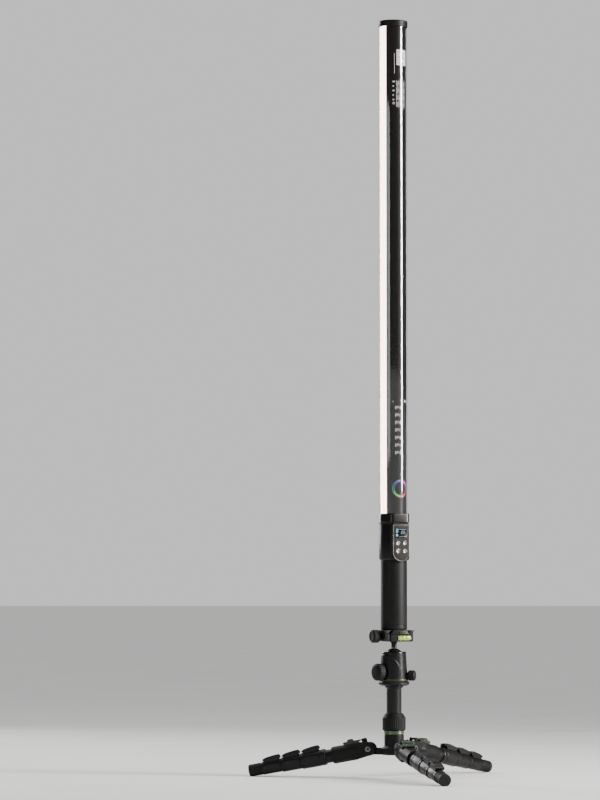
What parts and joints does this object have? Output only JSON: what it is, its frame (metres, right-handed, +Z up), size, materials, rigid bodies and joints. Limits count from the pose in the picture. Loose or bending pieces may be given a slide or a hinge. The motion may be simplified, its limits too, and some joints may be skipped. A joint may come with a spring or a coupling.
{
  "type": "led tube light on a ball head tripod",
  "caption": "Battery LED tube light with a control panel and a handle, clamped upright by a dovetail plate on a ball head and a compact folding tripod.",
  "frame": {"origin": "centre of the rectangle around the whole light and its splayed legs, on the floor under the feet; the column's axis stands 64.82499 mm behind it, at +Y", "axes": "+Z up along the tube and the column; one leg points to -Y and the control panel faces close to -Y, turned 8.7 degrees towards +X; +X to the right of someone who faces the panel"},
  "size_m": [0.4882, 0.4244, 1.4139],
  "materials": {
    "black_anodised": "satin black anodised aluminium, lightly bead blasted",
    "leg_tube": "satin black anodised tube",
    "black_plastic": "satin black moulded plastic",
    "grip_plastic": "fine matt black texture",
    "rubber": "matt black rubber",
    "clear_tube": "polished clear polycarbonate",
    "diffuser": "milky white diffuser, lit from inside",
    "opaque_back": "satin black heat sink behind the clear tube",
    "panel": "satin warm grey panel with a lighter edge",
    "buttons": "satin silver grey buttons",
    "screen": "dark glossy display with pale blue symbols",
    "circuit": "green circuit board",
    "cells": "shrink wrapped cells",
    "vial": "clear acrylic vial with yellow green fluid"
  },
  "bodies": {
    "hub": {"hub": "black_anodised"},
    "column_lock": {"column_lock_ring": "rubber"},
    "column": {"center_column": "black_anodised", "head_base": "black_anodised"},
    "head": {"head_housing": "black_anodised"},
    "main_knob": {"main_lock_knob": "rubber"},
    "pan_knob": {"pan_lock_knob": "rubber"},
    "ball": {"ball": "black_anodised"},
    "stem": {"ball_stem": "black_anodised"},
    "clamp": {"clamp_body": "black_anodised", "level_vial": "vial"},
    "jaw": {"clamp_jaw": "black_anodised"},
    "clamp_screw": {"clamp_knob": "rubber"},
    "light": {"quick_release_plate": "black_anodised", "handle": "grip_plastic", "battery_pack": "cells", "control_housing": "black_plastic", "panel_bezel": "panel", "display": "screen", "circuit_board": "circuit", "collar_ring": "black_plastic", "clear_tube": "clear_tube", "diffuser": "diffuser", "opaque_back": "opaque_back", "led_board": "circuit", "end_cap": "black_plastic"},
    "button_upper_left": {"button_upper_left": "buttons"},
    "button_upper_right": {"button_upper_right": "buttons"},
    "button_lower_left": {"button_lower_left": "buttons"},
    "button_lower_right": {"button_lower_right": "buttons"},
    "front_leg": {"front_leg_shoulder": "black_anodised", "front_leg_upper_tube": "leg_tube"},
    "front_leg_tab": {"front_leg_angle_tab": "black_anodised"},
    "front_leg_section_2": {"front_leg_second_tube": "leg_tube"},
    "front_leg_section_3": {"front_leg_third_tube": "leg_tube"},
    "front_leg_section_4": {"front_leg_lowest_tube": "leg_tube", "front_leg_foot": "rubber"},
    "front_leg_upper_lock": {"front_leg_upper_lever": "black_plastic"},
    "front_leg_second_lock": {"front_leg_second_lever": "black_plastic"},
    "front_leg_third_lock": {"front_leg_third_lever": "black_plastic"},
    "right_leg": {"right_leg_shoulder": "black_anodised", "right_leg_upper_tube": "leg_tube"},
    "right_leg_tab": {"right_leg_angle_tab": "black_anodised"},
    "right_leg_section_2": {"right_leg_second_tube": "leg_tube"},
    "right_leg_section_3": {"right_leg_third_tube": "leg_tube"},
    "right_leg_section_4": {"right_leg_lowest_tube": "leg_tube", "right_leg_foot": "rubber"},
    "right_leg_upper_lock": {"right_leg_upper_lever": "black_plastic"},
    "right_leg_second_lock": {"right_leg_second_lever": "black_plastic"},
    "right_leg_third_lock": {"right_leg_third_lever": "black_plastic"},
    "left_leg": {"left_leg_shoulder": "black_anodised", "left_leg_upper_tube": "leg_tube"},
    "left_leg_tab": {"left_leg_angle_tab": "black_anodised"},
    "left_leg_section_2": {"left_leg_second_tube": "leg_tube"},
    "left_leg_section_3": {"left_leg_third_tube": "leg_tube"},
    "left_leg_section_4": {"left_leg_lowest_tube": "leg_tube", "left_leg_foot": "rubber"},
    "left_leg_upper_lock": {"left_leg_upper_lever": "black_plastic"},
    "left_leg_second_lock": {"left_leg_second_lever": "black_plastic"},
    "left_leg_third_lock": {"left_leg_third_lever": "black_plastic"}
  },
  "joints": [
    {"name": "column_lock_twist", "type": "hinge", "parent": "hub", "child": "column_lock", "pos_m": [0, 0.06482, 0.10277], "axis": [0, 0, 1], "range_deg": [0, 180]},
    {"name": "column_slide", "type": "slide", "parent": "hub", "child": "column", "axis": [0, 0, 1], "range_m": [-0.038, 0.045]},
    {"name": "head_pan", "type": "hinge", "parent": "column", "child": "head", "pos_m": [0, 0.06482, 0.17887], "axis": [0, 0, 1], "continuous": true},
    {"name": "main_lock_turn", "type": "hinge", "parent": "head", "child": "main_knob", "pos_m": [0, 0.06482, 0.19617], "axis": [-0.9603, -0.279, 0], "range_deg": [0, 270]},
    {"name": "pan_lock_turn", "type": "hinge", "parent": "head", "child": "pan_knob", "pos_m": [0, 0.06482, 0.18967], "axis": [0.8545, -0.5195, 0], "range_deg": [0, 270]},
    {"name": "ball_lean", "type": "hinge", "parent": "head", "child": "ball", "pos_m": [0, 0.06482, 0.22247], "axis": [-0.1513, 0.9885, 0], "range_deg": [-25, 25]},
    {"name": "ball_tilt", "type": "hinge", "parent": "ball", "child": "stem", "pos_m": [0, 0.06482, 0.22247], "axis": [-0.9885, -0.1513, 0], "range_deg": [-25, 90]},
    {"name": "light_spin", "type": "hinge", "parent": "stem", "child": "clamp", "pos_m": [0, 0.06482, 0.22247], "axis": [0, 0, 1], "continuous": true},
    {"name": "jaw_slide", "type": "slide", "parent": "clamp", "child": "jaw", "axis": [-0.9885, -0.1513, 0], "range_m": [0, 0.004]},
    {"name": "clamp_knob_turn", "type": "hinge", "parent": "jaw", "child": "clamp_screw", "pos_m": [-0.03954, 0.05878, 0.26237], "axis": [-0.9885, -0.1513, 0], "range_deg": [0, 1080]},
    {"name": "plate_slide", "type": "slide", "parent": "clamp", "child": "light", "axis": [-0.1513, 0.9885, 0], "range_m": [-0.047, 0.047]},
    {"name": "button_upper_left_press", "type": "slide", "parent": "light", "child": "button_upper_left", "axis": [-0.1513, 0.9885, 0], "range_m": [0, 0.001], "stiffness_N_per_m": 600, "springref_m": -0.0005},
    {"name": "button_upper_right_press", "type": "slide", "parent": "light", "child": "button_upper_right", "axis": [-0.1513, 0.9885, 0], "range_m": [0, 0.001], "stiffness_N_per_m": 600, "springref_m": -0.0005},
    {"name": "button_lower_left_press", "type": "slide", "parent": "light", "child": "button_lower_left", "axis": [-0.1513, 0.9885, 0], "range_m": [0, 0.001], "stiffness_N_per_m": 600, "springref_m": -0.0005},
    {"name": "button_lower_right_press", "type": "slide", "parent": "light", "child": "button_lower_right", "axis": [-0.1513, 0.9885, 0], "range_m": [0, 0.001], "stiffness_N_per_m": 600, "springref_m": -0.0005},
    {"name": "front_leg_fold", "type": "hinge", "parent": "hub", "child": "front_leg", "pos_m": [0, 0.01783, 0.05337], "axis": [1, 0, 0], "range_deg": [0, 79.25]},
    {"name": "front_leg_tab_lift", "type": "hinge", "parent": "front_leg", "child": "front_leg_tab", "pos_m": [0, 0.0084, 0.07082], "axis": [-1, 0, 0], "range_deg": [0, 35], "stiffness_Nm_per_rad": 0.05, "springref_deg": -11.46},
    {"name": "front_leg_section_2_slide", "type": "slide", "parent": "front_leg", "child": "front_leg_section_2", "axis": [0, -0.9825, -0.1865], "range_m": [0, 0.08]},
    {"name": "front_leg_section_3_slide", "type": "slide", "parent": "front_leg_section_2", "child": "front_leg_section_3", "axis": [0, -0.9825, -0.1865], "range_m": [0, 0.112]},
    {"name": "front_leg_section_4_slide", "type": "slide", "parent": "front_leg_section_3", "child": "front_leg_section_4", "axis": [0, -0.9825, -0.1865], "range_m": [0, 0.146]},
    {"name": "front_leg_upper_lock_flip", "type": "hinge", "parent": "front_leg", "child": "front_leg_upper_lock", "pos_m": [0, -0.08131, 0.0544], "axis": [-1, 0, 0], "range_deg": [0, 90]},
    {"name": "front_leg_second_lock_flip", "type": "hinge", "parent": "front_leg_section_2", "child": "front_leg_second_lock", "pos_m": [0, -0.11875, 0.04576], "axis": [-1, 0, 0], "range_deg": [0, 90]},
    {"name": "front_leg_third_lock_flip", "type": "hinge", "parent": "front_leg_section_3", "child": "front_leg_third_lock", "pos_m": [0, -0.1562, 0.03713], "axis": [-1, 0, 0], "range_deg": [0, 90]},
    {"name": "right_leg_fold", "type": "hinge", "parent": "hub", "child": "right_leg", "pos_m": [0.0407, 0.08833, 0.05337], "axis": [-0.5, 0.866, 0], "range_deg": [0, 79.25]},
    {"name": "right_leg_tab_lift", "type": "hinge", "parent": "right_leg", "child": "right_leg_tab", "pos_m": [0.04886, 0.09304, 0.07082], "axis": [0.5, -0.866, 0], "range_deg": [0, 35], "stiffness_Nm_per_rad": 0.05, "springref_deg": -11.46},
    {"name": "right_leg_section_2_slide", "type": "slide", "parent": "right_leg", "child": "right_leg_section_2", "axis": [0.8508, 0.4912, -0.1865], "range_m": [0, 0.08]},
    {"name": "right_leg_section_3_slide", "type": "slide", "parent": "right_leg_section_2", "child": "right_leg_section_3", "axis": [0.8508, 0.4912, -0.1865], "range_m": [0, 0.112]},
    {"name": "right_leg_section_4_slide", "type": "slide", "parent": "right_leg_section_3", "child": "right_leg_section_4", "axis": [0.8508, 0.4912, -0.1865], "range_m": [0, 0.146]},
    {"name": "right_leg_upper_lock_flip", "type": "hinge", "parent": "right_leg", "child": "right_leg_upper_lock", "pos_m": [0.12655, 0.13789, 0.0544], "axis": [0.5, -0.866, 0], "range_deg": [0, 90]},
    {"name": "right_leg_second_lock_flip", "type": "hinge", "parent": "right_leg_section_2", "child": "right_leg_second_lock", "pos_m": [0.15898, 0.15661, 0.04576], "axis": [0.5, -0.866, 0], "range_deg": [0, 90]},
    {"name": "right_leg_third_lock_flip", "type": "hinge", "parent": "right_leg_section_3", "child": "right_leg_third_lock", "pos_m": [0.19141, 0.17534, 0.03713], "axis": [0.5, -0.866, 0], "range_deg": [0, 90]},
    {"name": "left_leg_fold", "type": "hinge", "parent": "hub", "child": "left_leg", "pos_m": [-0.0407, 0.08833, 0.05337], "axis": [-0.5, -0.866, 0], "range_deg": [0, 79.25]},
    {"name": "left_leg_tab_lift", "type": "hinge", "parent": "left_leg", "child": "left_leg_tab", "pos_m": [-0.04886, 0.09304, 0.07082], "axis": [0.5, 0.866, 0], "range_deg": [0, 35], "stiffness_Nm_per_rad": 0.05, "springref_deg": -11.46},
    {"name": "left_leg_section_2_slide", "type": "slide", "parent": "left_leg", "child": "left_leg_section_2", "axis": [-0.8508, 0.4912, -0.1865], "range_m": [0, 0.08]},
    {"name": "left_leg_section_3_slide", "type": "slide", "parent": "left_leg_section_2", "child": "left_leg_section_3", "axis": [-0.8508, 0.4912, -0.1865], "range_m": [0, 0.112]},
    {"name": "left_leg_section_4_slide", "type": "slide", "parent": "left_leg_section_3", "child": "left_leg_section_4", "axis": [-0.8508, 0.4912, -0.1865], "range_m": [0, 0.146]},
    {"name": "left_leg_upper_lock_flip", "type": "hinge", "parent": "left_leg", "child": "left_leg_upper_lock", "pos_m": [-0.12655, 0.13789, 0.0544], "axis": [0.5, 0.866, 0], "range_deg": [0, 90]},
    {"name": "left_leg_second_lock_flip", "type": "hinge", "parent": "left_leg_section_2", "child": "left_leg_second_lock", "pos_m": [-0.15898, 0.15661, 0.04576], "axis": [0.5, 0.866, 0], "range_deg": [0, 90]},
    {"name": "left_leg_third_lock_flip", "type": "hinge", "parent": "left_leg_section_3", "child": "left_leg_third_lock", "pos_m": [-0.19141, 0.17534, 0.03713], "axis": [0.5, 0.866, 0], "range_deg": [0, 90]}
  ],
  "couplings": [
    {"joint": "jaw_slide", "follows": "clamp_knob_turn", "m_per_rad": 0.000199}
  ]
}
